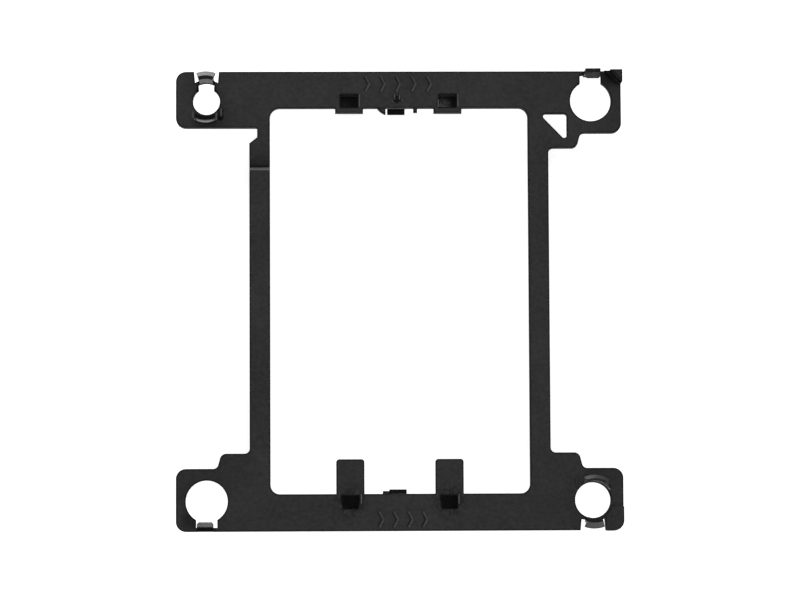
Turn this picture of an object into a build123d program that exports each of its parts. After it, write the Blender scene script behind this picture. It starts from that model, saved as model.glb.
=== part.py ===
from build123d import *
import math
import os

os.makedirs("parts", exist_ok=True)

# A moulded frame that carries a large rectangular processor under its heat sink.
# Seen from the heat sink side (+Z): the latch end is +Y, the push end is -Y.
# z = 0 is the lowest edge, where the frame rests on a table.

# Heights
guide_depth = 3.2
plate_thickness = 1.6
hook_height = 5.8

# Opening for the processor lid, with four tabs reaching into it
opening_half_x = 25.83
opening_half_y = 38.6
opening_radius = 1.9
tab_x = 9.87
tab_shift_x = -0.09
tab_width = 5.6
short_tab_reach = 1.0
long_tab_reach = 6.9
tab_radius = 0.6

# Plate, which grows outwards from the opening: two rails, two ends and four corner plates
rail_width = 4.12
end_width = 7.4
corner_reach = 14.65
corner_length = 12.5
left_corner_length = 11.35
push_right_trim_x = 0.22
push_right_trim_y = 0.1
step_reach = 6.05
step_length = 3.0
step_slant = 0.4
neck_inset = 1.58
neck_length = 1.85
neck_slope = 1.25
neck_radius = 0.25
convex_radius = 2.0
step_radius = 1.3
inner_radius = 1.0
edge_softening = 0.08

# Windows at the tab roots, each with a catch below it
latch_window_width = 3.5
latch_window_setback = 0.2
push_window_width = 3.65
push_window_narrow = 3.0
push_window_setback = 0.35
window_depth = 2.55
catch_width = 5.0
catch_wall = 1.2
catch_floor = 1.2
catch_overlap = 0.4
catch_lead = 0.6

# Bores for the heat sink nuts, placed from the plate's corners
bore_edge_x = 6.1
bore_edge_y = 6.0
bore_radius_latch_left = 2.7
bore_radius_latch_right = 4.1
bore_radius_push_left = 4.19
bore_radius_push_right = 3.55

# Ring fingers and lips (latch-left and push-right corners), just outside the larger bore
finger_setback = 0.18
finger_wall_latch = 0.75
finger_wall_push = 0.87
finger_half_angle = 20.5
finger_barb_latch = 1.1
finger_barb_push = 1.15
finger_barb_drop = 2.2
finger_barb_land = 0.35
finger_slot_outer_half_x = 2.6
finger_slot_inner_half_x = 2.3
finger_slot_near_half_x = 1.3
finger_slot_near_latch = 0.5
finger_slot_near_push = 0.2
finger_slot_far = 0.02
finger_notch_mouth_half_x = 1.4
finger_notch_half_x = 1.6
lip_setback = 0.18
lip_wall = 0.5
lip_reach = 1.15
lip_slope_latch = 0.42
lip_slope_push = 0.7
lip_barb_height = 1.1
lip_inboard_latch = 2.3
lip_outboard_latch = 2.6
lip_wall_outboard_latch = 2.4
lip_inboard_push = 2.1
lip_outboard_push = 2.8
lip_wall_outboard_push = 3.15
rib_thickness = 0.55
rib_length = 2.1
rib_low_latch = 0.35
rib_high_latch = 0.85
rib_low_push = 0.05
rib_high_push = 0.25
rib_clearance = 0.3
rib_turn_latch = 61.0
rib_turn_push = 49.0

# Straight hooks (latch-right and push-left corners)
edge_strip = 0.8
edge_notch_half_x = 2.12
edge_hook_width_latch = 3.0
edge_hook_width_push = 3.25
edge_hook_offset = 0.12
edge_hook_wall_latch = 0.8
edge_hook_wall_push = 0.67
edge_hook_setback_latch = 0.25
edge_hook_setback_push = 0.0
edge_hook_barb_latch = 1.08
edge_hook_barb_push = 1.18
edge_hook_barb_drop = 0.8
edge_hook_barb_land = 0.4
edge_hook_plan_chamfer = 0.35

# Key post at the latch-right corner, pad at the push-right corner
post_leg = 2.4
post_height = 2.8
post_proud = 0.12
post_foot_step = 1.1
post_foot_height = 0.9
pad_size_x = 3.5
pad_size_y = 4.8
pad_height = 0.3
pad_proud = 0.1
pad_radius = 2.1
pad_bore_wall = 0.5

# Three-sided window that marks the first contact, beside the latch-right bore
marker_wall = 0.7
marker_inset_y = 8.58
marker_leg_x = 5.5
marker_leg_y = 5.7
marker_radius = 0.55

# Arrow engraved between the latch windows
arrow_x = -0.4
arrow_setback = 0.8
arrow_head_length = 0.85
arrow_head_half = 0.8
arrow_stem_length = 0.85
arrow_stem_half = 0.22
arrow_depth = 0.3

# Ramp in the left rail, for a flat blade
ramp_setback = 0.15
ramp_length = 4.65
ramp_depth = 1.0
ramp_edge = 0.6

# Middle catches and the small stops beside them
latch_catch_x = -0.5
latch_catch_width = 3.5
latch_catch_reach = 0.9
push_catch_x = -0.42
push_catch_width = 3.45
push_catch_reach = 0.95
catch_setback = 0.2
middle_catch_wall = 1.2
middle_catch_top = 1.3
middle_catch_lead = 0.45
wedge_start_x = -4.35
wedge_end_x = -2.65
wedge_reach = 1.2
wedge_tip = 0.25
nub_x = 3.3
nub_width = 0.75
nub_reach = 0.85
bump_x = -2.85
bump_width = 1.3
bump_reach = 0.55

# Guide walls under the rails, around the processor's package
guide_wall = 1.6
guide_lead = 0.5
guide_setback = 0.5

# Derived values
plate_under = guide_depth
plate_top = plate_under + plate_thickness
hook_top = plate_top + hook_height
rail_outer_x = opening_half_x + rail_width
plate_half_x = rail_outer_x + corner_reach
plate_half_y = opening_half_y + end_width
corner_plate_inner_y = plate_half_y - corner_length
left_plate_inner_y = plate_half_y - left_corner_length
step_x = rail_outer_x + step_reach
step_inner_y = corner_plate_inner_y - step_length
neck_x = rail_outer_x - neck_inset
neck_end_y = left_plate_inner_y - neck_length
neck_slope_end_y = neck_end_y - neck_slope
bore_x = plate_half_x - bore_edge_x
bore_y = plate_half_y - bore_edge_y
latch_window_y = opening_half_y + latch_window_setback
push_window_y = opening_half_y + push_window_setback
marker_x = bore_x - bore_radius_latch_right - marker_wall - marker_leg_x
marker_y = plate_half_y - marker_inset_y
ramp_start_y = neck_slope_end_y - ramp_setback
ramp_step_y = ramp_start_y - ramp_length
guide_end_y = step_inner_y - guide_setback
bore_places = {
    "latch_left": (-bore_x, bore_y, bore_radius_latch_left),
    "latch_right": (bore_x, bore_y, bore_radius_latch_right),
    "push_left": (-bore_x, -bore_y, bore_radius_push_left),
    "push_right": (bore_x - push_right_trim_x, -bore_y, bore_radius_push_right),
}
finger_inner_radius = bore_radius_push_right + finger_setback
lip_inner_radius = bore_radius_push_right + lip_setback
lip_barb_radius = lip_inner_radius + lip_reach
tab_places = (tab_shift_x - tab_x, tab_shift_x + tab_x)
arrow_tip_y = opening_half_y + arrow_setback
arrow_bend_y = arrow_tip_y + arrow_head_length
arrow_end_y = arrow_bend_y + arrow_stem_length
guide_inner_x = rail_outer_x - guide_wall


def ring_sector(centre, middle_deg, half_deg, profile):
    """Sweeps an (r, z) profile around a bore's axis, centred on one direction."""
    start = math.radians(middle_deg + half_deg)
    radial = Vector(math.cos(start), math.sin(start), 0)
    plane = Plane(
        origin=(centre[0], centre[1], 0),
        x_dir=radial,
        z_dir=radial.cross(Vector(0, 0, 1)),
    )
    with BuildSketch(plane) as section:
        with BuildLine():
            Polyline(*profile, close=True)
        make_face()
    revolve(
        section.sketch,
        axis=Axis((centre[0], centre[1], 0), (0, 0, -1)),
        revolution_arc=2 * half_deg,
    )


# Plate: outline with rounded corners, then every opening that goes right through it.
# Each outline corner is written as x, y and the radius it is rounded with.
outline = [
    (-plate_half_x, plate_half_y, convex_radius),
    (plate_half_x, plate_half_y, 0),
    (plate_half_x, corner_plate_inner_y, convex_radius),
    (step_x + step_slant, corner_plate_inner_y, inner_radius),
    (step_x - step_slant, step_inner_y, step_radius),
    (rail_outer_x, step_inner_y, inner_radius),
    (rail_outer_x, -step_inner_y, inner_radius),
    (step_x - step_slant, -step_inner_y, step_radius),
    (step_x + step_slant, -corner_plate_inner_y - push_right_trim_y, inner_radius),
    (plate_half_x - push_right_trim_x, -corner_plate_inner_y - push_right_trim_y, convex_radius),
    (plate_half_x - push_right_trim_x, -plate_half_y, pad_radius),
    (-plate_half_x, -plate_half_y, convex_radius),
    (-plate_half_x, -corner_plate_inner_y, convex_radius),
    (-step_x - step_slant, -corner_plate_inner_y, inner_radius),
    (-step_x + step_slant, -step_inner_y, step_radius),
    (-rail_outer_x, -step_inner_y, inner_radius),
    (-rail_outer_x, neck_slope_end_y, 0),
    (-neck_x, neck_end_y, 0),
    (-neck_x, left_plate_inner_y, neck_radius),
    (-plate_half_x, left_plate_inner_y, convex_radius),
]

with BuildSketch() as outline_face:
    with BuildLine():
        Polyline(*[(x, y) for x, y, _ in outline], close=True)
    make_face()
    for x, y, radius in outline:
        if radius > 0:
            near = outline_face.vertices().sort_by_distance((x, y, 0))[0]
            fillet(near, radius=radius)

with BuildSketch() as opening_face:
    RectangleRounded(2 * opening_half_x, 2 * opening_half_y, opening_radius)

with BuildSketch() as marker_face:
    with BuildLine():
        Polyline(
            (marker_x, marker_y),
            (marker_x + marker_leg_x, marker_y),
            (marker_x + marker_leg_x, marker_y - marker_leg_y),
            close=True,
        )
    make_face()
    fillet(marker_face.vertices(), radius=marker_radius)

with BuildPart() as carrier_frame:
    # Plate: outline, opening and tabs, with its top edges softened
    with BuildSketch(Plane.XY.offset(plate_under)):
        add(outline_face.sketch)
        add(opening_face.sketch, mode=Mode.SUBTRACT)
        for x in tab_places:
            with Locations((x, opening_half_y - short_tab_reach / 2 + 0.5)):
                Rectangle(tab_width, short_tab_reach + 1)
            with Locations((x, -opening_half_y + long_tab_reach / 2 - 1)):
                RectangleRounded(tab_width, long_tab_reach + 2, tab_radius)
    extrude(amount=plate_thickness)
    chamfer(carrier_frame.faces().sort_by(Axis.Z)[-1].edges(), length=edge_softening)

    # Heat sink nut bores, with softened mouths
    with BuildSketch(Plane.XY.offset(plate_under)):
        for x, y, radius in bore_places.values():
            with Locations((x, y)):
                Circle(radius)
    extrude(amount=plate_thickness, mode=Mode.SUBTRACT)
    mouths = carrier_frame.edges(Select.LAST).filter_by(GeomType.CIRCLE).group_by(Axis.Z)[-1]
    chamfer(mouths, length=edge_softening)

    # Windows at the roots of the tabs and the three-sided window
    with BuildSketch(Plane.XY.offset(plate_under)):
        for x in tab_places:
            with Locations((x, latch_window_y + window_depth / 2)):
                Rectangle(latch_window_width, window_depth)
            with BuildLine():
                Polyline(
                    (x - push_window_width / 2, -push_window_y),
                    (x + push_window_width / 2, -push_window_y),
                    (x + push_window_narrow / 2, -push_window_y - window_depth),
                    (x - push_window_narrow / 2, -push_window_y - window_depth),
                    close=True,
                )
            make_face()
        add(marker_face.sketch)
    extrude(amount=plate_thickness, mode=Mode.SUBTRACT)

    # Open slots behind the ring fingers, and notches in front of the straight hooks
    with BuildSketch(Plane.XY.offset(plate_under)):
        for place, side, near in (
            ("latch_left", -1, finger_slot_near_latch),
            ("push_right", 1, finger_slot_near_push),
        ):
            slot_x = bore_places[place][0]
            near_y = -side * (bore_y + finger_inner_radius + near)
            far_y = -side * (bore_y + finger_inner_radius + finger_slot_far)
            out_y = -side * (plate_half_y + 1)
            with BuildLine():
                Polyline(
                    (slot_x - finger_slot_near_half_x, near_y),
                    (slot_x + finger_slot_near_half_x, near_y),
                    (slot_x + finger_slot_inner_half_x, far_y),
                    (slot_x + finger_slot_outer_half_x, out_y),
                    (slot_x - finger_slot_outer_half_x, out_y),
                    (slot_x - finger_slot_inner_half_x, far_y),
                    close=True,
                )
            make_face()
            notch_end = plate_half_y - edge_strip
            with Locations((side * bore_x, side * (bore_y + notch_end) / 2)):
                Rectangle(2 * edge_notch_half_x, notch_end - bore_y)
    extrude(amount=plate_thickness, mode=Mode.SUBTRACT)

    # Notch that opens the small bore out to the ring finger's inner face
    with BuildSketch(Plane.XY.offset(plate_under)):
        with Locations((-bore_x, bore_y)):
            Circle(finger_inner_radius)
        with BuildLine():
            Polyline(
                (-bore_x - finger_notch_mouth_half_x, bore_y),
                (-bore_x + finger_notch_mouth_half_x, bore_y),
                (-bore_x + finger_notch_half_x, bore_y + finger_inner_radius),
                (-bore_x - finger_notch_half_x, bore_y + finger_inner_radius),
                close=True,
            )
        make_face(mode=Mode.INTERSECT)
    extrude(amount=plate_thickness, mode=Mode.SUBTRACT)

    # Small stops on both ends of the opening
    with BuildSketch(Plane.XY.offset(plate_under)):
        wedge_bend_x = wedge_start_x + 0.35 * (wedge_end_x - wedge_start_x)
        with BuildLine():
            Polyline(
                (wedge_start_x, opening_half_y),
                (wedge_bend_x, opening_half_y - 0.55 * wedge_reach),
                (wedge_end_x - wedge_tip, opening_half_y - wedge_reach),
                (wedge_end_x, opening_half_y - wedge_reach),
                (wedge_end_x, opening_half_y + 0.5),
                (wedge_start_x, opening_half_y + 0.5),
                close=True,
            )
        make_face()
        with Locations((nub_x, opening_half_y - nub_reach / 2 + 0.25)):
            Rectangle(nub_width, nub_reach + 0.5)
        with Locations((bump_x, -opening_half_y + bump_reach / 2 - 0.25)):
            Rectangle(bump_width, bump_reach + 0.5)
    extrude(amount=plate_thickness - edge_softening)

    # Ramp in the left rail: falls away from the neck, then steps back up
    with BuildSketch(Plane.YZ.offset(-rail_outer_x - 1)):
        with BuildLine():
            Polyline(
                (ramp_start_y, plate_top + 1),
                (ramp_start_y, plate_top),
                (ramp_step_y, plate_top - ramp_depth),
                (ramp_step_y, plate_top - ramp_edge),
                (ramp_step_y - ramp_edge, plate_top),
                (ramp_step_y - ramp_edge, plate_top + 1),
                close=True,
            )
        make_face()
    extrude(amount=rail_outer_x - opening_half_x + 2, mode=Mode.SUBTRACT)

    # Arrow engraved between the latch windows, pointing into the opening
    with BuildSketch(Plane.XY.offset(plate_top)):
        with BuildLine():
            Polyline(
                (arrow_x, arrow_tip_y),
                (arrow_x + arrow_head_half, arrow_bend_y),
                (arrow_x + arrow_stem_half, arrow_bend_y),
                (arrow_x + arrow_stem_half, arrow_end_y),
                (arrow_x - arrow_stem_half, arrow_end_y),
                (arrow_x - arrow_stem_half, arrow_bend_y),
                (arrow_x - arrow_head_half, arrow_bend_y),
                close=True,
            )
        make_face()
    extrude(amount=-arrow_depth, mode=Mode.SUBTRACT)

    # Guide walls under both rails, with a lead-in on the inner lower edge
    for side in (-1, 1):
        with BuildSketch(Plane.XZ.offset(guide_end_y)):
            with BuildLine():
                Polyline(
                    (side * rail_outer_x, 0),
                    (side * (guide_inner_x + guide_lead), 0),
                    (side * guide_inner_x, guide_lead),
                    (side * guide_inner_x, plate_under),
                    (side * rail_outer_x, plate_under),
                    close=True,
                )
            make_face()
        extrude(amount=-2 * guide_end_y)

    # Catches below the windows: an outer wall and a floor that closes the window's foot
    for x, side, window_y in (
        (tab_places[0], 1, latch_window_y),
        (tab_places[1], 1, latch_window_y),
        (tab_places[0], -1, push_window_y),
        (tab_places[1], -1, push_window_y),
    ):
        floor_y = side * (window_y - catch_overlap)
        wall_y = side * (window_y + window_depth)
        back_y = side * (window_y + window_depth + catch_wall)
        with BuildSketch(Plane.YZ.offset(x - catch_width / 2)):
            with BuildLine():
                Polyline(
                    (floor_y, catch_floor),
                    (floor_y + side * catch_lead, 0),
                    (back_y, 0),
                    (back_y, plate_under),
                    (wall_y, plate_under),
                    (wall_y, catch_floor),
                    close=True,
                )
            make_face()
        extrude(amount=catch_width)

    # Middle catches that hold the package's ends
    for x, width, reach, side in (
        (latch_catch_x, latch_catch_width, latch_catch_reach, 1),
        (push_catch_x, push_catch_width, push_catch_reach, -1),
    ):
        tip_y = side * (opening_half_y - reach)
        wall_y = side * (opening_half_y + catch_setback)
        back_y = side * (opening_half_y + catch_setback + middle_catch_wall)
        with BuildSketch(Plane.YZ.offset(x - width / 2)):
            with BuildLine():
                Polyline(
                    (tip_y, middle_catch_top),
                    (tip_y, middle_catch_top - 0.35),
                    (tip_y + side * middle_catch_lead, 0),
                    (back_y, 0),
                    (back_y, plate_under),
                    (wall_y, plate_under),
                    (wall_y, middle_catch_top),
                    close=True,
                )
            make_face()
        extrude(amount=width)

    # Ring fingers with outward barbs, standing behind two of the bores
    barb_top = hook_top - finger_barb_drop
    for place, side, wall, barb in (
        ("latch_left", -1, finger_wall_latch, finger_barb_latch),
        ("push_right", 1, finger_wall_push, finger_barb_push),
    ):
        wall_radius = finger_inner_radius + wall
        barb_radius = wall_radius + barb
        finger_profile = [
            (finger_inner_radius, plate_under),
            (wall_radius, plate_under),
            (wall_radius, barb_top - finger_barb_land),
            (barb_radius, barb_top - finger_barb_land),
            (barb_radius, barb_top),
            (wall_radius, hook_top),
            (finger_inner_radius, hook_top),
        ]
        ring_sector(bore_places[place], -90 * side, finger_half_angle, finger_profile)

    # Curved lips opposite the fingers: a wall that carries a barb with sloping sides.
    # Their ends are cut off straight, square to the plate's ends.
    for place, side, inboard, outboard, wall_outboard, slope in (
        (
            "latch_left",
            -1,
            lip_inboard_latch,
            lip_outboard_latch,
            lip_wall_outboard_latch,
            lip_slope_latch,
        ),
        (
            "push_right",
            1,
            lip_inboard_push,
            lip_outboard_push,
            lip_wall_outboard_push,
            lip_slope_push,
        ),
    ):
        x, y, _ = bore_places[place]
        barb_low = hook_top - lip_barb_height
        for low, high, radius, end in (
            (plate_under, barb_low, lip_inner_radius + lip_wall, wall_outboard),
            (barb_low, hook_top, lip_barb_radius, outboard),
        ):
            with BuildSketch(Plane.XY.offset(low)):
                with Locations((x, y)):
                    Circle(radius)
                    Circle(lip_inner_radius, mode=Mode.SUBTRACT)
                with Locations((x + side * (end - inboard) / 2, y + side * radius / 2)):
                    Rectangle(inboard + end, radius, mode=Mode.INTERSECT)
            extrude(amount=high - low)
        lip_top = carrier_frame.faces().filter_by(Axis.Z).group_by(Axis.Z)[-1]
        lip_top = lip_top.sort_by_distance((x, y + side * lip_inner_radius, hook_top))[0]
        centre = Vector(x, y, hook_top)
        edges = lip_top.edges()
        rim = [e for e in edges if (e.position_at(0.5) - centre).length > lip_inner_radius + 0.1]
        chamfer(rim, length=slope)

    # A short sloping rib beside the inboard end of each lip
    for place, side, rib_turn, rib_low, rib_high in (
        ("latch_left", -1, rib_turn_latch, rib_low_latch, rib_high_latch),
        ("push_right", 1, rib_turn_push, rib_low_push, rib_high_push),
    ):
        centre = bore_places[place]
        radius = bore_places[place][2]
        rib_reach = radius + rib_clearance
        rib_near_x = centre[0] - side * rib_reach * math.sin(math.radians(rib_turn))
        rib_far_x = rib_near_x - side * rib_thickness
        rib_near_y = centre[1] + side * rib_reach * math.cos(math.radians(rib_turn))
        with BuildSketch(Plane.XZ.offset(-rib_near_y)):
            with BuildLine():
                Polyline(
                    (rib_near_x, plate_under),
                    (rib_far_x, plate_under),
                    (rib_far_x, plate_top + rib_high),
                    (rib_near_x, plate_top + rib_low),
                    close=True,
                )
            make_face()
        extrude(amount=-side * rib_length)

    # Straight hooks on the plate's edge, barbed towards the bore
    for side, width, wall, setback, barb in (
        (
            1,
            edge_hook_width_latch,
            edge_hook_wall_latch,
            edge_hook_setback_latch,
            edge_hook_barb_latch,
        ),
        (
            -1,
            edge_hook_width_push,
            edge_hook_wall_push,
            edge_hook_setback_push,
            edge_hook_barb_push,
        ),
    ):
        back_y = side * (plate_half_y - setback)
        wall_y = side * (plate_half_y - setback - wall)
        barb_y = side * (plate_half_y - setback - wall - barb)
        barb_top = hook_top - edge_hook_barb_drop
        hook_x = side * (bore_x + edge_hook_offset)
        with BuildSketch(Plane.YZ.offset(hook_x - width / 2)):
            with BuildLine():
                Polyline(
                    (back_y, plate_under),
                    (wall_y, plate_under),
                    (wall_y, barb_top - edge_hook_barb_land),
                    (barb_y, barb_top - edge_hook_barb_land),
                    (barb_y, barb_top),
                    (wall_y, hook_top),
                    (back_y, hook_top),
                    close=True,
                )
            make_face()
        extrude(amount=width)
        # The barb's corners are cut off in plan
        with BuildSketch(Plane.XY.offset(plate_top + edge_softening)):
            for end in (-1, 1):
                corner_x = hook_x + end * width / 2
                with BuildLine():
                    Polyline(
                        (corner_x, barb_y + side * edge_hook_plan_chamfer),
                        (corner_x - end * edge_hook_plan_chamfer, barb_y),
                        (corner_x, barb_y),
                        close=True,
                    )
                make_face()
        extrude(amount=hook_height, mode=Mode.SUBTRACT)

    # Key post at the latch-right corner: a three-sided pillar on a foot that is wider to one side
    post_x = plate_half_x + post_proud
    post_end_y = plate_half_y - post_leg
    foot_corners = [
        (post_x, plate_half_y),
        (post_x - post_leg - post_foot_step, plate_half_y),
        (post_x - post_foot_step, post_end_y),
        (post_x, post_end_y),
    ]
    post_corners = [
        (post_x, plate_half_y),
        (post_x - post_leg, plate_half_y),
        (post_x, post_end_y),
    ]
    for corners, height in ((foot_corners, post_foot_height), (post_corners, post_height)):
        with BuildSketch(Plane.XY.offset(plate_under)):
            with BuildLine():
                Polyline(*corners, close=True)
            make_face()
        extrude(amount=plate_thickness + height)

    # Pad that stands slightly proud around the push-right corner, clear of the bore
    pad_corner_x = plate_half_x - push_right_trim_x + pad_proud
    pad_corner_y = -plate_half_y - pad_proud
    pad_bore_x, pad_bore_y, pad_bore_radius = bore_places["push_right"]
    with BuildSketch(Plane.XY.offset(plate_under)) as pad_face:
        with Locations((pad_corner_x - pad_size_x / 2, pad_corner_y + pad_size_y / 2)):
            Rectangle(pad_size_x, pad_size_y)
        outer_corner = (pad_corner_x, pad_corner_y, plate_under)
        fillet(pad_face.vertices().sort_by_distance(outer_corner)[0], radius=pad_radius)
        with Locations((pad_bore_x, pad_bore_y)):
            Circle(pad_bore_radius + pad_bore_wall, mode=Mode.SUBTRACT)
    extrude(amount=plate_thickness + pad_height)

carrier_frame.part.label = "carrier_frame"
export_step(carrier_frame.part, "parts/carrier_frame.step")
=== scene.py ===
# %% [markdown]
# # A moulded carrier frame for a large processor
#
# The object is one black plastic moulding, about 89 mm by 92 mm. It holds a
# processor by its edges and snaps onto a heat sink with small hooks at its
# four corners. The exact shape comes ready made from the CAD model, so this
# lesson is about what the CAD model can't give: the moulded surface, the small
# raised marks and rims, the table it lies on and the studio light.
#
# The file is meant to be read from top to bottom. Each step first says what is
# seen on the real thing, then how it could be made, and why one way was taken.

import math

import bmesh
import bpy
from mathutils import Euler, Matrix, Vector


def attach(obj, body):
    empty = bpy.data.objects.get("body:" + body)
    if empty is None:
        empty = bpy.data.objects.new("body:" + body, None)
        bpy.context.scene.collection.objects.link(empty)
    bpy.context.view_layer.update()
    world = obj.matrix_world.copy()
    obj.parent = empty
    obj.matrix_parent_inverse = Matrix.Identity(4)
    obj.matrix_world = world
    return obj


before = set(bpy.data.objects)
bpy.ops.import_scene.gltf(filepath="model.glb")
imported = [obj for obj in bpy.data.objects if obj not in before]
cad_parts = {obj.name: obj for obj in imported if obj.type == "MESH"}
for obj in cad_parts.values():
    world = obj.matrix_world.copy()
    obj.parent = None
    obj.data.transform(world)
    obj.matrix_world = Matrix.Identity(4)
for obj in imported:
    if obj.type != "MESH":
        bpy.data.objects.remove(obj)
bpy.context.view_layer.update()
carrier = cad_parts["carrier_frame"]
MM = 0.001

# %% [markdown]
# ## The height of the flat face
#
# Marks sit on the flat upper face, and the finishes change with the height
# above or below it. The height could be typed in, but it is safer to read it
# from the mesh: the height that holds most of the area facing up is the
# plate's top. That way marks and finishes follow the model if it changes.

# %% Find the flat upper face
def flat_face_height(mesh):
    """Height of the largest flat area of a mesh that faces up."""
    areas = {}
    for polygon in mesh.polygons:
        if polygon.normal.z > 0.999:
            height = round(polygon.center.z, 5)
            areas[height] = areas.get(height, 0.0) + polygon.area
    return max(areas, key=areas.get)


plate_top = flat_face_height(carrier.data)
print("flat face at", round(plate_top / MM, 2), "mm")

# %% [markdown]
# ## A finish as a sum of nodes
#
# A finish can be painted as an image or mixed from nodes. Nodes are used here,
# because noise lives in the object's own space, needs no unwrapping and stays
# sharp from any distance. Each helper below adds a node or two to a material
# and gives back the socket with the result, so a finish can be written line by
# line, like a sum.

# %% Helpers that add nodes
def new_material(name):
    """A material with an empty node tree, its main shader and its output."""
    material = bpy.data.materials.new(name)
    material.use_nodes = True
    nodes = material.node_tree.nodes
    nodes.clear()
    output = nodes.new("ShaderNodeOutputMaterial")
    shader = nodes.new("ShaderNodeBsdfPrincipled")
    material.node_tree.links.new(shader.outputs["BSDF"], output.inputs["Surface"])
    return material, shader, output


def noise(material, scale, detail, roughness=0.5):
    """Noise in the object's own space, in grains per metre."""
    nodes, links = material.node_tree.nodes, material.node_tree.links
    place = nodes.new("ShaderNodeTexCoord")
    texture = nodes.new("ShaderNodeTexNoise")
    texture.inputs["Scale"].default_value = scale
    texture.inputs["Detail"].default_value = detail
    texture.inputs["Roughness"].default_value = roughness
    links.new(place.outputs["Object"], texture.inputs["Vector"])
    return texture.outputs["Fac"]


def ramp(material, source, stops):
    """A colour ramp over a value: stops are (position, grey or colour)."""
    nodes, links = material.node_tree.nodes, material.node_tree.links
    node = nodes.new("ShaderNodeValToRGB")
    for element, (position, shade) in zip(node.color_ramp.elements, stops):
        element.position = position
        colour = (shade, shade, shade) if isinstance(shade, float) else shade
        element.color = (*colour, 1.0)
    links.new(source, node.inputs["Fac"])
    return node.outputs["Color"]


print("node helpers: new_material, noise, ramp")

# %% [markdown]
# ## Sums with masks
#
# A mask is a number for each spot of the surface: 1 where a finish belongs, 0
# where it doesn't. Two masks multiplied keep what lies in both, and the larger
# of two keeps what lies in either. One Math node does each of these, and a Mix
# node then goes from one colour to another along the finished mask.

# %% Helpers that join masks
def maths(material, operation, first, second):
    """One Math node. The inputs are sockets or plain numbers."""
    node = material.node_tree.nodes.new("ShaderNodeMath")
    node.operation = operation
    for socket, value in zip(node.inputs, (first, second)):
        if isinstance(value, (int, float)):
            socket.default_value = value
        else:
            material.node_tree.links.new(value, socket)
    return node.outputs[0]


def both(material, first, second):
    """Two numbers multiplied: as masks, 1 only where both are 1."""
    return maths(material, "MULTIPLY", first, second)


def either(material, first, second):
    """The larger of two numbers: as masks, 1 where either is 1."""
    return maths(material, "MAXIMUM", first, second)


def outside(material, mask):
    """1 where the mask is 0, and 0 where it is 1."""
    return maths(material, "SUBTRACT", 1.0, mask)


def clamped(material, value):
    """A number held between 0 and 1."""
    return maths(material, "MINIMUM", maths(material, "MAXIMUM", value, 0.0), 1.0)


def blend(material, mask, first, second):
    """A number or colour that goes from the first to the second with the mask."""
    node = material.node_tree.nodes.new("ShaderNodeMix")
    node.data_type = "RGBA"
    material.node_tree.links.new(mask, node.inputs[0])
    for socket, value in ((node.inputs[6], first), (node.inputs[7], second)):
        if isinstance(value, tuple):
            socket.default_value = (*value, 1.0)
        elif isinstance(value, float):
            socket.default_value = (value, value, value, 1.0)
        else:
            material.node_tree.links.new(value, socket)
    return node.outputs[2]


print("mask helpers: maths, both, either, outside, clamped, blend")

# %% [markdown]
# ## Masks by height, place and slope
#
# Where a finish belongs can often be said in words: all that stands above the
# plate, what lies near this window, or the slopes that face left. The first
# two follow from the spot's own position on the object, as its z and as its
# distance in plan from a named place. The third follows from the direction
# that the surface faces. Painting the same by hand would take longer and
# would have to be done again after each change of the model.

# %% Helpers for height, place and slope
def along_axis(material, source, axis):
    """The X, Y or Z part of a position or a direction."""
    parts = material.node_tree.nodes.new("ShaderNodeSeparateXYZ")
    material.node_tree.links.new(source, parts.inputs["Vector"])
    return parts.outputs[axis]


def facing(material, axis, gain):
    """1 on slopes that face along an axis, 0 on flat tops and other slopes. A
    negative gain finds the slopes that face the other way."""
    surface = material.node_tree.nodes.new("ShaderNodeNewGeometry")
    lean = along_axis(material, surface.outputs["Normal"], axis)
    return clamped(material, both(material, lean, gain))


def height_above(material, level, soft):
    """0 below a level in the object's own z, rising to 1 over the soft height."""
    place = material.node_tree.nodes.new("ShaderNodeTexCoord")
    height = along_axis(material, place.outputs["Object"], "Z")
    rise = maths(material, "SUBTRACT", height, level)
    return clamped(material, maths(material, "DIVIDE", rise, soft))


def height_below(material, level, soft):
    """1 below a level, falling to 0 over the soft height above it."""
    return outside(material, height_above(material, level, soft))


def near_places(material, places, inner, outer):
    """1 within the inner distance in mm of any place in plan, 0 beyond the outer."""
    nodes, links = material.node_tree.nodes, material.node_tree.links
    where = nodes.new("ShaderNodeTexCoord")
    plan = nodes.new("ShaderNodeVectorMath")
    plan.operation = "MULTIPLY"
    plan.inputs[1].default_value = (1, 1, 0)
    links.new(where.outputs["Object"], plan.inputs[0])
    total = None
    for x, y in places:
        gap = nodes.new("ShaderNodeVectorMath")
        gap.operation = "DISTANCE"
        gap.inputs[1].default_value = (x * MM, y * MM, 0)
        links.new(plan.outputs["Vector"], gap.inputs[0])
        fade = nodes.new("ShaderNodeMapRange")
        fade.interpolation_type = "SMOOTHSTEP"
        fade.inputs["From Min"].default_value = inner * MM
        fade.inputs["From Max"].default_value = outer * MM
        fade.inputs["To Min"].default_value = 1.0
        fade.inputs["To Max"].default_value = 0.0
        links.new(gap.outputs["Value"], fade.inputs["Value"])
        mask = fade.outputs["Result"]
        total = mask if total is None else either(material, total, mask)
    return total


print("place helpers: facing, height_above, height_below, near_places")

# %% [markdown]
# ## The moulded plastic
#
# The frame is a glass filled engineering plastic, moulded in a spark eroded
# tool. It is black, dull and finely grained: the grain is a few hundredths of
# a millimetre high and a tenth or two wide. A single dark colour would look
# like a hole in the picture, because a dull black thing is seen by its sheen.
#
# So noise is used at three scales: a slow one clouds the colour a little, as
# flow in a mould does, a medium one changes how dull the surface is, and a
# fine one is the bump of the grain.

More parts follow.
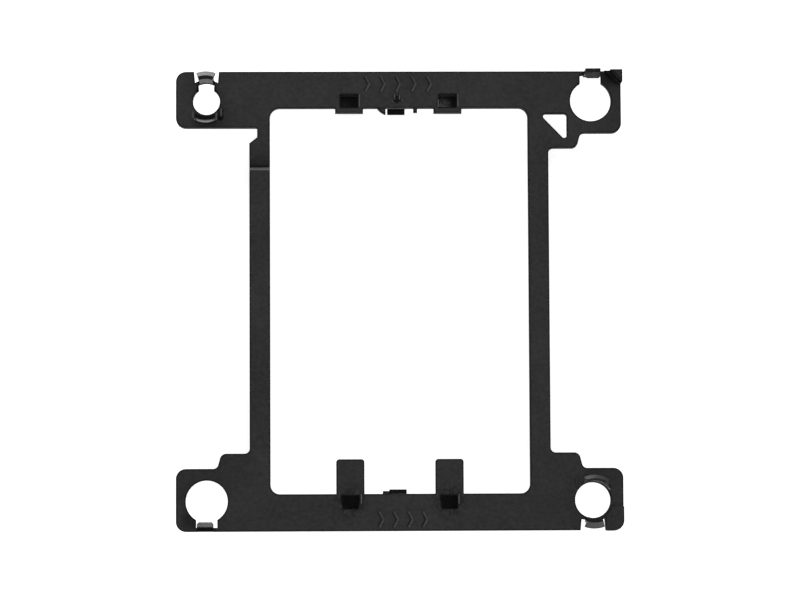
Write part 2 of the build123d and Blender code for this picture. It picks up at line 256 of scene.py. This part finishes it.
# %% Start the black plastic
def clouded(material, dark, light):
    """A colour that drifts between two close shades."""
    clouds = noise(material, scale=90.0, detail=3.0)
    mottle = noise(material, scale=1400.0, detail=2.0, roughness=0.7)
    drift = maths(material, "ADD", both(material, clouds, 0.4), both(material, mottle, 0.6))
    return ramp(material, drift, [(0.36, dark), (0.64, light)])


def uneven_dullness(material):
    """Roughness that changes a little from patch to patch."""
    patches = noise(material, scale=700.0, detail=4.0, roughness=0.6)
    return ramp(material, patches, [(0.25, 0.44), (0.75, 0.56)])


def add_grain(material, shader, strength):
    """The fine bump that a spark eroded tool leaves."""
    bump = material.node_tree.nodes.new("ShaderNodeBump")
    bump.inputs["Strength"].default_value = strength
    bump.inputs["Distance"].default_value = 0.03 * MM
    links = material.node_tree.links
    fine = noise(material, scale=5200.0, detail=3.0, roughness=0.6)
    links.new(fine, bump.inputs["Height"])
    links.new(bump.outputs["Normal"], shader.inputs["Normal"])


DEEP_BLACK = (0.007, 0.007, 0.0072)
SOFT_BLACK = (0.0205, 0.0205, 0.0208)
FULL_GRAIN = 0.35
black_plastic, black_shader, _ = new_material("black_plastic")
colour = clouded(black_plastic, DEEP_BLACK, SOFT_BLACK)
dullness = uneven_dullness(black_plastic)
add_grain(black_plastic, black_shader, FULL_GRAIN)
print("black plastic so far:", len(black_plastic.node_tree.nodes), "nodes")

# %% [markdown]
# ## Smooth hooks and lips
#
# Hooks and lips come from small smooth inserts in the tool. From above they
# look almost black, with a bright line where a slope mirrors a lamp or the
# table, which only a low roughness gives. Everything above the plate gets this
# finish by its height, apart from the key post, which is as dull as the plate.
# One lip has been rubbed dull, so it keeps the roughness of the plate.

# %% Smooth what stands above the plate
HOOK_COLOUR = (0.005, 0.005, 0.0052)
HOOK_ROUGHNESS, RUBBED_ROUGHNESS = 0.25, 0.5
KEY_POST = (43.5, 44.9)
PUSH_LIP = (38.2, -35.6)
key_post = near_places(black_plastic, [KEY_POST], inner=2.6, outer=2.9)
hooks = height_above(black_plastic, plate_top + 0.3 * MM, soft=0.3 * MM)
hooks = both(black_plastic, hooks, outside(black_plastic, key_post))
push_lip = near_places(black_plastic, [PUSH_LIP], inner=3.2, outer=4.0)
hook_dullness = blend(black_plastic, push_lip, HOOK_ROUGHNESS, RUBBED_ROUGHNESS)
colour = blend(black_plastic, hooks, colour, HOOK_COLOUR)
dullness = blend(black_plastic, hooks, dullness, hook_dullness)
print("with smooth hooks:", len(black_plastic.node_tree.nodes), "nodes")

# %% [markdown]
# ## Painted dark edges
#
# The rounded edges of the plate mirror darker surroundings and show as a thin
# dark outline. That outline is painted shade here: a darker colour and less
# shine along the edges. Blender's Pointiness output finds edges on dense
# meshes only, and this mesh has long thin triangles. A Bevel node works on
# any mesh: it gives the direction that the surface would have if its edges
# were rounded, and where that differs from the true one there is an edge. A
# few low steps are left out, because a dark outline would swallow them.

# %% Find the edges of the plate
def edge_mask(material, radius, gain):
    """1 within a small distance of a sharp edge, 0 on flat areas."""
    nodes, links = material.node_tree.nodes, material.node_tree.links
    rounded = nodes.new("ShaderNodeBevel")
    rounded.samples = 8
    rounded.inputs["Radius"].default_value = radius
    surface = nodes.new("ShaderNodeNewGeometry")
    likeness = nodes.new("ShaderNodeVectorMath")
    likeness.operation = "DOT_PRODUCT"
    links.new(rounded.outputs["Normal"], likeness.inputs[0])
    links.new(surface.outputs["True Normal"], likeness.inputs[1])
    bent = outside(material, likeness.outputs["Value"])
    return maths(material, "MINIMUM", both(material, bent, gain), 1.0)


# The low pad, one rib, the cut arrow and the ramp's step have no dark outline.
LOW_STEPS = [(42.3, -42.4), (42.3, -45.0), (35.5, -36.2)]
ARROW = (-0.4, 40.3)
RAMP_STEP = [(-29.8 + 0.7 * i, 26.3) for i in range(6)]
no_outline = either(
    black_plastic,
    near_places(black_plastic, LOW_STEPS, inner=2.0, outer=2.6),
    either(
        black_plastic,
        near_places(black_plastic, [ARROW], inner=1.2, outer=1.5),
        near_places(black_plastic, RAMP_STEP, inner=0.5, outer=0.9),
    ),
)
plate_face = outside(black_plastic, hooks)
outlined = both(black_plastic, plate_face, outside(black_plastic, no_outline))
plate_edges = edge_mask(black_plastic, radius=0.55 * MM, gain=30.0)
# painted shade: the dark outline along the plate's edges starts the mask
painted_shade_and_blotches = both(black_plastic, plate_edges, outlined)
print("with dark edges:", len(black_plastic.node_tree.nodes), "nodes")

# %% [markdown]
# ## Painted shade and blotches
#
# Deep floors, the cut arrow and the foot of the ramp's step get painted shade,
# a darker colour where little light gets in. Two corners get a painted soft
# shadow beside the bore, shaded by a hook at one and by the key post at the
# other. Round the windows of the push end the plate is darker in blotches of
# noise. All of it goes into one mask, as the larger of its parts, so that
# overlapping marks don't add up to a black hole.

# %% Add painted shade and blotches to the mask
PUSH_WINDOWS = [(-9.9, -40.2), (9.8, -40.2)]
SHADOWED_CORNERS = [(-41.3, -43.6), (41.6, 44.8)]
RAMP_FOOT = [(-29.8 + 0.7 * i, 26.8) for i in range(6)]

# painted shade: floors deep under the face are darkened
deep_floors = height_below(black_plastic, plate_top - 2.1 * MM, soft=0.4 * MM)
cut_in = height_below(black_plastic, plate_top - 0.2 * MM, soft=0.1 * MM)
# painted shade inside the cut arrow
arrow_shade = near_places(black_plastic, [ARROW], inner=1.2, outer=1.4)
arrow_shade = both(black_plastic, arrow_shade, cut_in)
# painted shade at the foot of the ramp's step, not on its slope
ramp_foot_shade = near_places(black_plastic, RAMP_FOOT, inner=0.1, outer=1.0)
ramp_foot_shade = both(black_plastic, ramp_foot_shade, cut_in)
step_slope = facing(black_plastic, "Y", gain=2.2)
ramp_foot_shade = both(black_plastic, ramp_foot_shade, outside(black_plastic, step_slope))

beside_windows = near_places(black_plastic, PUSH_WINDOWS, inner=2.0, outer=4.4)
patches = noise(black_plastic, scale=900.0, detail=5.0, roughness=0.7)
blotches = ramp(black_plastic, patches, [(0.42, 0.0), (0.52, 1.0)])
window_blotches = both(black_plastic, beside_windows, blotches)
# painted shadow: a soft dark patch beside the bore, cast by a hook and by the post
painted_corner_shadow = near_places(black_plastic, SHADOWED_CORNERS, inner=0.8, outer=3.0)

# painted shade, apart from the blotches by the windows
shade_and_blotch_parts = [
    (window_blotches, 0.5),
    (painted_corner_shadow, 0.6),
    (ramp_foot_shade, 0.6),
    (deep_floors, 0.68),
    (arrow_shade, 0.6),
]
for mask, strength in shade_and_blotch_parts:
    painted_shade_and_blotches = either(black_plastic, painted_shade_and_blotches, both(black_plastic, mask, strength))
SHADE_AND_BLOTCH_COLOUR = (0.003, 0.003, 0.0031)
colour = blend(black_plastic, painted_shade_and_blotches, colour, SHADE_AND_BLOTCH_COLOUR)
print("with grime:", len(black_plastic.node_tree.nodes), "nodes")

# %% [markdown]
# ## Dust
#
# Pale dust lies in streaks in the floor of one window, with a trace of it in
# its neighbour, and a few flakes stick to the plate beside the windows of the
# push end. Dust is thin, so it needs no shape of its own: a pale colour under
# a mask of noise is enough.

# %% Lay the dust
DUSTY_WINDOW = (9.1, 39.6)
CLEANER_WINDOW = (-11.0, 39.8)
DUST_COLOUR = (0.14, 0.14, 0.142)
FLAKE_COLOUR = (0.06, 0.06, 0.061)

thick_dust = near_places(black_plastic, [DUSTY_WINDOW], inner=0.6, outer=2.0)
thin_dust = near_places(black_plastic, [CLEANER_WINDOW], inner=0.2, outer=1.9)
thin_dust = both(black_plastic, thin_dust, 0.1)
dust = both(black_plastic, deep_floors, either(black_plastic, thick_dust, thin_dust))
wisps = noise(black_plastic, scale=1500.0, detail=4.0, roughness=0.6)
streaks = ramp(black_plastic, wisps, [(0.4, 0.3), (0.6, 1.0)])
colour = blend(black_plastic, both(black_plastic, dust, streaks), colour, DUST_COLOUR)

specks = noise(black_plastic, scale=2600.0, detail=3.0, roughness=0.6)
specks = maths(black_plastic, "GREATER_THAN", specks, 0.64)
flakes = both(black_plastic, both(black_plastic, specks, beside_windows), plate_face)
colour = blend(black_plastic, both(black_plastic, flakes, 0.8), colour, FLAKE_COLOUR)
print("with dust:", len(black_plastic.node_tree.nodes), "nodes")

# %% [markdown]
# ## Shine
#
# The same mask lowers the specular level, so its painted shade and blotches
# take the shine away as well as the colour. Some parts of the hooks get
# painted shade in their shine: the flat of one barb under its bright slope,
# the top of one straight hook, the crest of one lip, whose slope gets a little
# less shine too, and the end of another lip. Each is found by its place and
# its height, and gets hardly any shine, so it reads darker than the lamps and
# the white table would make it.

# %% Take the shine off some parts
FINGER_BARB = (-38.5, 42.2)
HOOK_TOP = (-38.6, -45.7)
LATCH_LIP = (-38.5, 35.6)
LIP_END = (40.9, -37.0)
FULL_SHINE, SHADED_SHINE, HARDLY_ANY_SHINE = 0.5, 0.12, 0.03

barb_flat = near_places(black_plastic, [FINGER_BARB], inner=1.9, outer=2.15)
below_slope = height_below(black_plastic, plate_top + 5.7 * MM, soft=0.1 * MM)
barb_flat = both(black_plastic, barb_flat, below_slope)

hook_top = near_places(black_plastic, [HOOK_TOP], inner=1.9, outer=2.15)
uppermost = height_above(black_plastic, plate_top + 5.6 * MM, soft=0.1 * MM)
hook_top = both(black_plastic, hook_top, uppermost)

latch_lip = near_places(black_plastic, [LATCH_LIP], inner=3.0, outer=3.3)
latch_lip = both(black_plastic, latch_lip, hooks)
lip_crest = height_above(black_plastic, plate_top + 5.6 * MM, soft=0.06 * MM)
lip_crest = either(black_plastic, both(black_plastic, lip_crest, 0.8), 0.3)
lip_crest = both(black_plastic, latch_lip, lip_crest)

lip_end = near_places(black_plastic, [LIP_END], inner=0.5, outer=1.4)
lip_end = both(black_plastic, both(black_plastic, lip_end, 0.7), hooks)

shine = blend(black_plastic, painted_shade_and_blotches, FULL_SHINE, SHADED_SHINE)
# painted shade: these parts of the hooks mirror almost nothing
for shaded_part in (barb_flat, hook_top, lip_crest, lip_end):
    shine = blend(black_plastic, shaded_part, shine, HARDLY_ANY_SHINE)
print("with its shine:", len(black_plastic.node_tree.nodes), "nodes")

# %% [markdown]
# ## The finished plastic
#
# The three layers, colour, dullness and shine, are joined to the shader. The
# material then goes onto the model through its slot, which leaves the mesh as
# it is.

# %% Join the layers
def finish_plastic(material, shader, colour, dullness, shine):
    """Joins the three layers to the main shader."""
    links = material.node_tree.links
    links.new(colour, shader.inputs["Base Color"])
    links.new(dullness, shader.inputs["Roughness"])
    links.new(shine, shader.inputs["Specular IOR Level"])


finish_plastic(black_plastic, black_shader, colour, dullness, shine)
carrier.data.materials.clear()
carrier.data.materials.append(black_plastic)
print("frame material:", carrier.data.materials[0].name)

# %% [markdown]
# ## Plastic of the marks and rims
#
# Marks stand out of the same moulding. Their crests are painted paler than
# the plate, as a painted highlight, and the rims much paler still. Each has a
# bright side and a dark side, which makes a low mark easy to see. The lamps
# alone give too little of that on a slope a fifth of a millimetre high, so the
# side that faces left, away from the strongest side lamp, gets painted shade,
# found by the direction the surface faces.

# %% Make the paler plastics
def crest_plastic(name, dark, light, grain):
    """Plastic for low raised marks, with painted shade on the slopes that face left."""
    material, shader, _ = new_material(name)
    shaded = facing(material, "X", gain=-2.2)
    colour = blend(material, shaded, clouded(material, dark, light), SHADE_AND_BLOTCH_COLOUR)
    shine = blend(material, shaded, FULL_SHINE, 0.1)
    finish_plastic(material, shader, colour, uneven_dullness(material), shine)
    add_grain(material, shader, grain)
    return material


# painted highlight: mark crests a little paler than the plate
mark_plastic = crest_plastic(
    "mark_plastic",
    dark=(0.018, 0.018, 0.0182),
    light=(0.028, 0.028, 0.0283),
    grain=0.6 * FULL_GRAIN,
)
# painted highlight: rims much paler than the plate, for the line of light they catch
rim_highlight_plastic = crest_plastic(
    "highlit_rim_plastic",
    dark=(0.014, 0.014, 0.0142),
    light=(0.08, 0.08, 0.081),
    grain=FULL_GRAIN,
)
print("paler plastics:", mark_plastic.name, "and", rim_highlight_plastic.name)

# %% [markdown]
# ## Strokes that stand out of a face
#
# A raised stroke could be a bump in the material, but that would vanish in a
# side view and wouldn't be in the exported mesh. So each one is a thin solid:
# a path is given a width, its foot lies just under the face, and its sides
# lean in near the top, because a moulded mark is never sharp. Where the path
# bends, the sides are moved out further, so the stroke keeps its width.

# %% Helpers for raised strokes
def stroke_sides(path):
    """Each point of a path with its sideways direction: first along the left
    side, then back along the right one."""
    left, right = [], []
    for i, point in enumerate(path):
        before = Vector(path[max(i - 1, 0)])
        after = Vector(path[min(i + 1, len(path) - 1)])
        along = (after - before).normalized()
        across = Vector((-along.y, along.x))
        if 0 < i < len(path) - 1:
            first = (Vector(point) - before).normalized()
            sharpest = 0.3
            across = across / max(sharpest, across.dot(Vector((-first.y, first.x))))
        left.append((Vector(point), across))
        right.append((Vector(point), -across))
    return left + right[::-1]


def stroke_solid(name, paths, width, low, high, slope):
    """One mesh of closed strokes with leaning sides. All sizes are in mm."""
    mesh = bpy.data.meshes.new(name)
    shape = bmesh.new()
    for path in paths:
        sides = stroke_sides(path)
        rows = []
        for half, z in ((width / 2, low), (width / 2, high - slope), (width / 2 - slope, high)):
            flat = [(point + across * half) * MM for point, across in sides]
            rows.append([shape.verts.new((p.x, p.y, z * MM)) for p in flat])
        count = len(sides)
        for lower, upper in zip(rows, rows[1:]):
            for i in range(count):
                j = (i + 1) % count
                shape.faces.new((lower[i], lower[j], upper[j], upper[i]))
        for row in (rows[0], rows[-1]):
            for i in range(len(path) - 1):
                shape.faces.new((row[i], row[i + 1], row[count - 2 - i], row[count - 1 - i]))
    bmesh.ops.recalc_face_normals(shape, faces=shape.faces)
    shape.to_mesh(mesh)
    shape.free()
    piece = bpy.data.objects.new(name, mesh)
    bpy.context.scene.collection.objects.link(piece)
    return piece


def raised_strokes(name, paths, width, height, slope, material):
    """Strokes that stand on the plate and belong to the same moulding."""
    top = plate_top / MM
    foot_depth = 0.05
    piece = stroke_solid(name, paths, width, top - foot_depth, top + height, slope)
    piece.data.materials.append(material)
    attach(piece, "root")
    return piece


print("strokes stand on the face at", round(plate_top / MM, 2), "mm")

# %% [markdown]
# ## Chevrons at both ends
#
# A row of open chevrons on each end bar tells the two ends apart: five at the
# latch end and four at the push end. They stand 0.18 mm proud and are 0.6 mm
# wide, as marks cut into a mould with a small ball cutter are.

# %% Raised chevrons at both ends
def chevrons(name, centre_x, centre_y, count, pitch):
    """A row of open chevrons that point towards +X."""
    half_height, half_point = 1.5, 0.4
    paths = []
    for i in range(count):
        x = centre_x + (i - (count - 1) / 2) * pitch
        tail = x - half_point
        tip = (x + half_point, centre_y)
        paths.append([(tail, centre_y + half_height), tip, (tail, centre_y - half_height)])
    return raised_strokes(name, paths, width=0.62, height=0.18, slope=0.2, material=mark_plastic)


latch_marks = chevrons("latch_end_chevrons", centre_x=-0.2, centre_y=43.5, count=5, pitch=3.1)
push_marks = chevrons("push_end_chevrons", centre_x=0.4, centre_y=-43.7, count=4, pitch=2.9)
print("chevrons:", len(latch_marks.data.polygons) + len(push_marks.data.polygons), "faces")

# %% [markdown]
# ## Rims beside the windows and the arrow
#
# The tool's inserts press up a thin rim of plastic beside each window and
# along the cut arrow. Its slope catches the light, and its plastic is painted
# paler as a painted highlight, so it shows as a short pale line. The rims are
# the same kind of stroke as the chevrons, only narrower and lower, so they are
# made with the same helper from a list of short straight paths.

# %% Pressed-up rims
latch_rims = [[(x, 41.3), (x, 38.9)] for x in (-7.98, 11.78)]
push_rims = [[(x, -38.7), (x, -40.6)] for x in (-7.9, 11.52)]
window_wall_rim = [[(7.82, 40.3), (7.82, 38.8)]]
arrow_rims = [
    [(-0.95, 41.35), (-0.95, 40.45)],
    [(0.08, 41.3), (0.08, 40.4)],
    [(-1.42, 40.25), (-1.42, 39.75)],
    [(0.62, 40.4), (0.62, 39.9)],
]
rim_paths = latch_rims + push_rims + window_wall_rim + arrow_rims
rims = raised_strokes(
    "window_rims", rim_paths, width=0.40, height=0.16, slope=0.17, material=rim_highlight_plastic
)
print("rims:", len(rims.data.polygons), "faces")

# %% [markdown]
# ## The table
#
# The frame was photographed on plain white. A white floor can be lit until it
# clips, but that floods the object with light. Instead the floor glows a
# little for the camera only, so it reads as white while the light on the
# plastic stays plain. It still takes the frame's shadow, which is what ties
# the object to the ground.
#
# Mirror-like rays need the white too, or the smooth slopes would mirror a grey
# table. They see it only well outside the frame: close by, the frame stands in
# its own way, and the paper there mirrors as dark.

# %% Floor
UNDER_FRAME = (6.0, -7.0)
CAMERA_GLOW = 0.72
GLOW_UNDER_FRAME = 0.05
PAPER_COLOUR = (0.86, 0.86, 0.86, 1)


def paper_glow(material):
    """How much the paper glows: for the camera, and for mirror-like rays that
    meet it outside the frame."""
    rays = material.node_tree.nodes.new("ShaderNodeLightPath")
    mirrored = either(material, rays.outputs["Is Glossy Ray"], rays.outputs["Is Transmission Ray"])
    close_paper = near_places(material, [UNDER_FRAME], inner=62.0, outer=80.0)
    open_paper = outside(material, close_paper)
    mirror_glow = maths(material, "ADD", GLOW_UNDER_FRAME, open_paper)
    seen_in_mirror = both(material, mirrored, mirror_glow)
    seen_directly = both(material, rays.outputs["Is Camera Ray"], CAMERA_GLOW)
    return maths(material, "ADD", seen_directly, seen_in_mirror)


def white_paper():
    """Plain paper that glows a little for some rays."""
    material, shader, output = new_material("white_paper")
    nodes, links = material.node_tree.nodes, material.node_tree.links
    shader.inputs["Base Color"].default_value = PAPER_COLOUR
    shader.inputs["Roughness"].default_value = 0.9
    shader.inputs["Specular IOR Level"].default_value = 0.1
    glow = nodes.new("ShaderNodeEmission")
    glow.inputs["Color"].default_value = (1, 1, 1, 1)
    links.new(paper_glow(material), glow.inputs["Strength"])
    total = nodes.new("ShaderNodeAddShader")
    links.new(shader.outputs["BSDF"], total.inputs[0])
    links.new(glow.outputs["Emission"], total.inputs[1])
    links.new(total.outputs["Shader"], output.inputs["Surface"])
    return material


def paper_floor(size):
    """A flat sheet at z = 0, centred under the object."""
    mesh = bpy.data.meshes.new("floor")
    shape = bmesh.new()
    bmesh.ops.create_grid(shape, x_segments=8, y_segments=8, size=size / 2)
    shape.to_mesh(mesh)
    shape.free()
    mesh.materials.append(white_paper())
    sheet = bpy.data.objects.new("floor", mesh)
    bpy.context.scene.collection.objects.link(sheet)
    return sheet


floor = paper_floor(size=4.0)
print("floor:", len(floor.data.polygons), "faces")

# %% [markdown]
# ## Studio light
#
# The small slopes tell where the real lamps stood. Slopes that face the two
# ends are the brightest, so two low soft boxes stand close to the ends. Slopes
# that face right are brighter than those that face left, so a strong low box
# stands at the right and a weak one at the left. A high box at the far right
# lights the flat faces and throws the soft shadow of hooks and post.
#
# Area lamps are the plain way to make soft boxes: their size sets how soft a
# shadow is. Their brightness is given as seen, where 1 is white paper, because
# that stays the same when a box is made larger.

# %% Lamps
def soft_box(name, azimuth, elevation, distance, size, brightness):
    """An area lamp that looks at the object. Angles in degrees, lengths in metres."""
    lamp = bpy.data.lights.new(name, "AREA")
    lamp.shape = "RECTANGLE"
    lamp.size, lamp.size_y = size
    lamp.energy = brightness * math.pi * size[0] * size[1]
    holder = bpy.data.objects.new(name, lamp)
    turn, rise = math.radians(azimuth), math.radians(elevation)
    level = math.cos(rise)
    direction = Vector((math.cos(turn) * level, math.sin(turn) * level, math.sin(rise)))
    holder.location = direction * distance
    holder.rotation_mode = "QUATERNION"
    holder.rotation_quaternion = direction.to_track_quat("Z", "Y")
    bpy.context.scene.collection.objects.link(holder)


HIGH_BOX, END_BOX = (0.9, 0.9), (0.28, 0.11)
soft_box("key_box", azimuth=60, elevation=50, distance=1.6, size=HIGH_BOX, brightness=1.2)
soft_box("far_box", azimuth=107, elevation=12, distance=0.30, size=END_BOX, brightness=8.6)
soft_box("near_box", azimuth=-100, elevation=12, distance=0.30, size=END_BOX, brightness=9.0)
soft_box("left_box", azimuth=180, elevation=14, distance=0.7, size=(0.7, 0.26), brightness=1.1)
soft_box("right_box", azimuth=0, elevation=14, distance=0.7, size=(0.9, 0.26), brightness=3.4)

# %% [markdown]
# ## The room
#
# A room's walls send a little light from all sides, which keeps shadows from
# going black. A grey world does the same. The camera should still see plain
# white past the floor's edge, so its own rays get a second, white background,
# and the plastic isn't lit by that one.

# %% Room light
def plain_background(tree, strength):
    """A white background of one strength."""
    node = tree.nodes.new("ShaderNodeBackground")
    node.inputs["Color"].default_value = (1, 1, 1, 1)
    node.inputs["Strength"].default_value = strength
    return node.outputs["Background"]


world = bpy.data.worlds.new("studio")
bpy.context.scene.world = world
world.use_nodes = True
room = world.node_tree
room.nodes.clear()
ray = room.nodes.new("ShaderNodeLightPath")
choice = room.nodes.new("ShaderNodeMixShader")
room.links.new(ray.outputs["Is Camera Ray"], choice.inputs["Fac"])
room.links.new(plain_background(room, strength=0.25), choice.inputs[1])
room.links.new(plain_background(room, strength=1.0), choice.inputs[2])
room_output = room.nodes.new("ShaderNodeOutputWorld")
room.links.new(choice.outputs["Shader"], room_output.inputs["Surface"])
print("room:", len(room.nodes), "nodes")

# %% [markdown]
# ## The camera
#
# The photograph looks nearly straight down from about 70 cm. It isn't quite
# straight: the tall hooks lean away from a point left of and below the middle,
# which is the spot right under the lens. The camera stands over that spot and
# is tilted a few degrees to bring the frame into the middle of the picture.

# %% Camera
lens = bpy.data.cameras.new("camera")
lens.sensor_fit = "HORIZONTAL"
lens.sensor_width = 36.0
lens.lens = 158.4
lens.clip_start, lens.clip_end = 0.05, 10.0
camera = bpy.data.objects.new("camera", lens)
UNDER_LENS = (-0.0158, -0.0557)
LENS_HEIGHT = 0.700
TILT = (4.556, -1.277, -0.275)
camera.location = (*UNDER_LENS, plate_top + LENS_HEIGHT)
tilt = [math.radians(angle) for angle in TILT]
camera.rotation_euler = Euler(tilt, "XYZ")
bpy.context.scene.collection.objects.link(camera)
bpy.context.scene.camera = camera
bpy.context.scene.view_settings.view_transform = "Standard"
print("camera height in mm:", round(camera.location.z / MM, 1))
